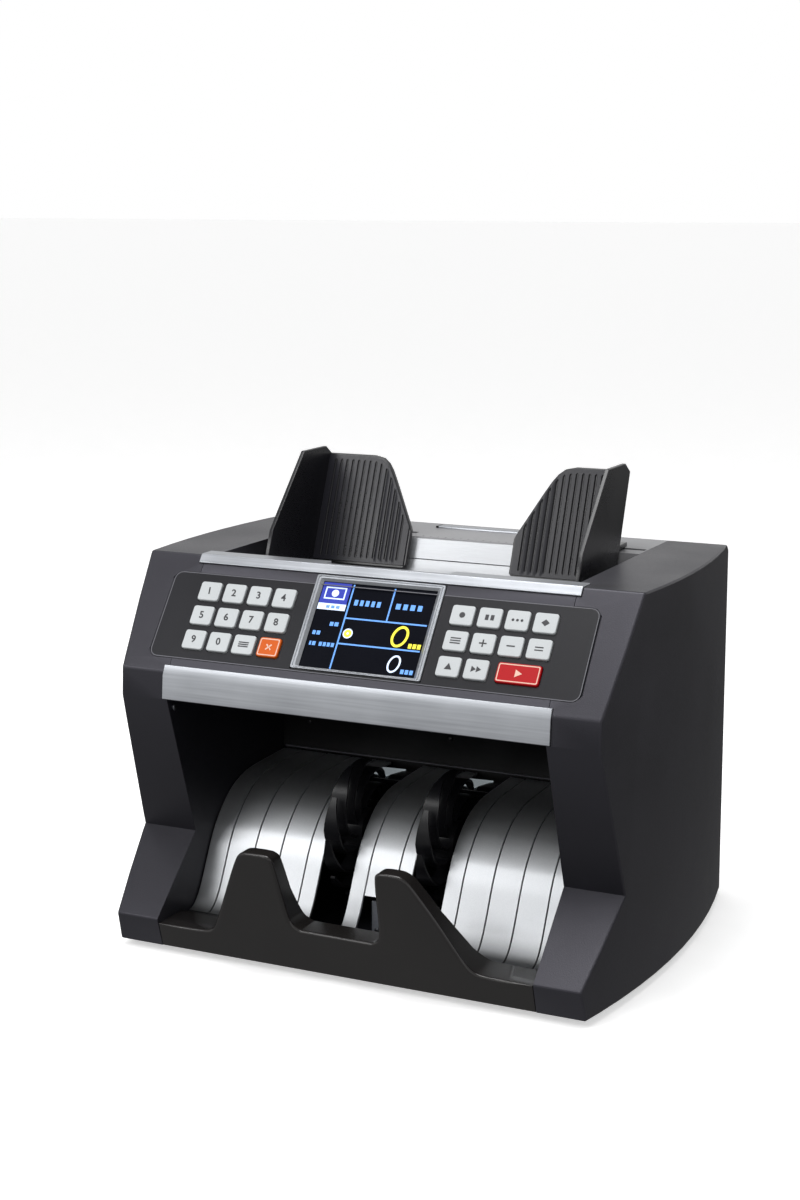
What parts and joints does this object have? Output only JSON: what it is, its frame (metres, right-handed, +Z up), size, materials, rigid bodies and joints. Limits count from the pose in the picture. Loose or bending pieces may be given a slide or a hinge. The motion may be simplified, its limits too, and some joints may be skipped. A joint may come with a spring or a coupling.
{
  "type": "banknote counting machine",
  "caption": "Desktop banknote counter with a top note hopper, adjustable note guides, sloped keypad and colour display, and an open curved stacker pocket in front.",
  "frame": {"origin": "centre of the footprint of the whole machine, on the surface its rubber feet stand on", "axes": "+Z up, -Y towards the user (control panel and stacker pocket), +X to the user's right, along the width"},
  "size_m": [0.3124, 0.262, 0.2745],
  "materials": {
    "charcoal_plastic": "fine texture, satin",
    "top_grey_plastic": "fine texture, satin",
    "film_plastic": "semi-gloss film",
    "silver_trim": "satin silver paint",
    "screen": "gloss display window",
    "key_grey": "satin",
    "key_orange": "satin",
    "key_red": "satin",
    "bright_plate": "brushed",
    "gloss_black": "gloss",
    "black_plastic": "matte",
    "switch_red": "gloss",
    "clear_plastic": "clear",
    "steel": "machined",
    "rubber": "matte",
    "board_green": "solder mask"
  },
  "bodies": {
    "frame": {"side_cover_right": "charcoal_plastic", "side_cover_left": "charcoal_plastic", "head_housing": "charcoal_plastic", "keypad_film": "film_plastic", "screen_bezel": "silver_trim", "screen_module": "screen", "upper_trim": "silver_trim", "lower_trim": "silver_trim", "top_cover": "top_grey_plastic", "grip_bar": "bright_plate", "hopper_back_plate": "bright_plate", "hopper_feed_plate": "bright_plate", "stacker_front_plate": "gloss_black", "stacker_chute_right": "bright_plate", "stacker_chute_left": "bright_plate", "stacker_chute_centre": "bright_plate", "pocket_liner": "black_plastic", "sensor_window_right": "clear_plastic", "sensor_window_left": "clear_plastic", "sensor_bracket": "steel", "base_tray": "charcoal_plastic", "rear_cover": "charcoal_plastic", "power_inlet": "black_plastic", "main_motor": "steel", "control_board": "board_green", "foot_front_left": "rubber", "foot_front_right": "rubber", "foot_rear_left": "rubber", "foot_rear_right": "rubber"},
    "guide_left": {"note_guide_left": "gloss_black"},
    "guide_right": {"note_guide_right": "gloss_black"},
    "stacker_rotor": {"stacker_shaft": "steel", "stacker_wheel_left": "black_plastic", "stacker_wheel_right": "black_plastic"},
    "pickup": {"pickup_roller": "rubber"},
    "feed": {"feed_roller": "rubber"},
    "power_rocker": {"rocker_switch": "switch_red"},
    "btn_left_1": {"key_left_1": "key_grey"},
    "btn_left_2": {"key_left_2": "key_grey"},
    "btn_left_3": {"key_left_3": "key_grey"},
    "btn_left_4": {"key_left_4": "key_grey"},
    "btn_left_5": {"key_left_5": "key_grey"},
    "btn_left_6": {"key_left_6": "key_grey"},
    "btn_left_7": {"key_left_7": "key_grey"},
    "btn_left_8": {"key_left_8": "key_grey"},
    "btn_left_9": {"key_left_9": "key_grey"},
    "btn_left_10": {"key_left_10": "key_grey"},
    "btn_left_11": {"key_left_11": "key_grey"},
    "btn_left_12": {"key_left_12": "key_orange"},
    "btn_right_1": {"key_right_1": "key_grey"},
    "btn_right_2": {"key_right_2": "key_grey"},
    "btn_right_3": {"key_right_3": "key_grey"},
    "btn_right_4": {"key_right_4": "key_grey"},
    "btn_right_5": {"key_right_5": "key_grey"},
    "btn_right_6": {"key_right_6": "key_grey"},
    "btn_right_7": {"key_right_7": "key_grey"},
    "btn_right_8": {"key_right_8": "key_grey"},
    "btn_right_9": {"key_right_9": "key_grey"},
    "btn_right_10": {"key_right_10": "key_grey"},
    "btn_start": {"key_start": "key_red"}
  },
  "joints": [
    {"name": "guide_left_slide", "type": "slide", "parent": "frame", "child": "guide_left", "axis": [1, 0, 0], "range_m": [0, 0.033]},
    {"name": "guide_right_slide", "type": "slide", "parent": "frame", "child": "guide_right", "axis": [-1, 0, 0], "range_m": [0, 0.033]},
    {"name": "feed_spin", "type": "hinge", "parent": "frame", "child": "feed", "pos_m": [0, -0.029, 0.1495], "axis": [1, 0, 0], "continuous": true},
    {"name": "pickup_spin", "type": "hinge", "parent": "frame", "child": "pickup", "pos_m": [0, 0.001, 0.166], "axis": [1, 0, 0], "continuous": true},
    {"name": "stacker_spin", "type": "hinge", "parent": "frame", "child": "stacker_rotor", "pos_m": [0, -0.0297, 0.0639], "axis": [1, 0, 0], "continuous": true},
    {"name": "power_rocker_tilt", "type": "hinge", "parent": "frame", "child": "power_rocker", "pos_m": [-0.062, 0.1275, 0.034], "axis": [0, 0, 1], "range_deg": [0, 20]},
    {"name": "press_left_1", "type": "slide", "parent": "frame", "child": "btn_left_1", "axis": [0, 0.8013, -0.5983], "range_m": [0, 0.001], "stiffness_N_per_m": 300},
    {"name": "press_left_2", "type": "slide", "parent": "frame", "child": "btn_left_2", "axis": [0, 0.8013, -0.5983], "range_m": [0, 0.001], "stiffness_N_per_m": 300},
    {"name": "press_left_3", "type": "slide", "parent": "frame", "child": "btn_left_3", "axis": [0, 0.8013, -0.5983], "range_m": [0, 0.001], "stiffness_N_per_m": 300},
    {"name": "press_left_4", "type": "slide", "parent": "frame", "child": "btn_left_4", "axis": [0, 0.8013, -0.5983], "range_m": [0, 0.001], "stiffness_N_per_m": 300},
    {"name": "press_left_5", "type": "slide", "parent": "frame", "child": "btn_left_5", "axis": [0, 0.8013, -0.5983], "range_m": [0, 0.001], "stiffness_N_per_m": 300},
    {"name": "press_left_6", "type": "slide", "parent": "frame", "child": "btn_left_6", "axis": [0, 0.8013, -0.5983], "range_m": [0, 0.001], "stiffness_N_per_m": 300},
    {"name": "press_left_7", "type": "slide", "parent": "frame", "child": "btn_left_7", "axis": [0, 0.8013, -0.5983], "range_m": [0, 0.001], "stiffness_N_per_m": 300},
    {"name": "press_left_8", "type": "slide", "parent": "frame", "child": "btn_left_8", "axis": [0, 0.8013, -0.5983], "range_m": [0, 0.001], "stiffness_N_per_m": 300},
    {"name": "press_left_9", "type": "slide", "parent": "frame", "child": "btn_left_9", "axis": [0, 0.8013, -0.5983], "range_m": [0, 0.001], "stiffness_N_per_m": 300},
    {"name": "press_left_10", "type": "slide", "parent": "frame", "child": "btn_left_10", "axis": [0, 0.8013, -0.5983], "range_m": [0, 0.001], "stiffness_N_per_m": 300},
    {"name": "press_left_11", "type": "slide", "parent": "frame", "child": "btn_left_11", "axis": [0, 0.8013, -0.5983], "range_m": [0, 0.001], "stiffness_N_per_m": 300},
    {"name": "press_left_12", "type": "slide", "parent": "frame", "child": "btn_left_12", "axis": [0, 0.8013, -0.5983], "range_m": [0, 0.001], "stiffness_N_per_m": 300},
    {"name": "press_right_1", "type": "slide", "parent": "frame", "child": "btn_right_1", "axis": [0, 0.8013, -0.5983], "range_m": [0, 0.001], "stiffness_N_per_m": 300},
    {"name": "press_right_2", "type": "slide", "parent": "frame", "child": "btn_right_2", "axis": [0, 0.8013, -0.5983], "range_m": [0, 0.001], "stiffness_N_per_m": 300},
    {"name": "press_right_3", "type": "slide", "parent": "frame", "child": "btn_right_3", "axis": [0, 0.8013, -0.5983], "range_m": [0, 0.001], "stiffness_N_per_m": 300},
    {"name": "press_right_4", "type": "slide", "parent": "frame", "child": "btn_right_4", "axis": [0, 0.8013, -0.5983], "range_m": [0, 0.001], "stiffness_N_per_m": 300},
    {"name": "press_right_5", "type": "slide", "parent": "frame", "child": "btn_right_5", "axis": [0, 0.8013, -0.5983], "range_m": [0, 0.001], "stiffness_N_per_m": 300},
    {"name": "press_right_6", "type": "slide", "parent": "frame", "child": "btn_right_6", "axis": [0, 0.8013, -0.5983], "range_m": [0, 0.001], "stiffness_N_per_m": 300},
    {"name": "press_right_7", "type": "slide", "parent": "frame", "child": "btn_right_7", "axis": [0, 0.8013, -0.5983], "range_m": [0, 0.001], "stiffness_N_per_m": 300},
    {"name": "press_right_8", "type": "slide", "parent": "frame", "child": "btn_right_8", "axis": [0, 0.8013, -0.5983], "range_m": [0, 0.001], "stiffness_N_per_m": 300},
    {"name": "press_right_9", "type": "slide", "parent": "frame", "child": "btn_right_9", "axis": [0, 0.8013, -0.5983], "range_m": [0, 0.001], "stiffness_N_per_m": 300},
    {"name": "press_right_10", "type": "slide", "parent": "frame", "child": "btn_right_10", "axis": [0, 0.8013, -0.5983], "range_m": [0, 0.001], "stiffness_N_per_m": 300},
    {"name": "press_start", "type": "slide", "parent": "frame", "child": "btn_start", "axis": [0, 0.8013, -0.5983], "range_m": [0, 0.001], "stiffness_N_per_m": 300}
  ],
  "couplings": [
    {"joint": "guide_right_slide", "follows": "guide_left_slide", "ratio": 1},
    {"joint": "pickup_spin", "follows": "feed_spin", "ratio": 1},
    {"joint": "stacker_spin", "follows": "feed_spin", "ratio": 0.25}
  ]
}
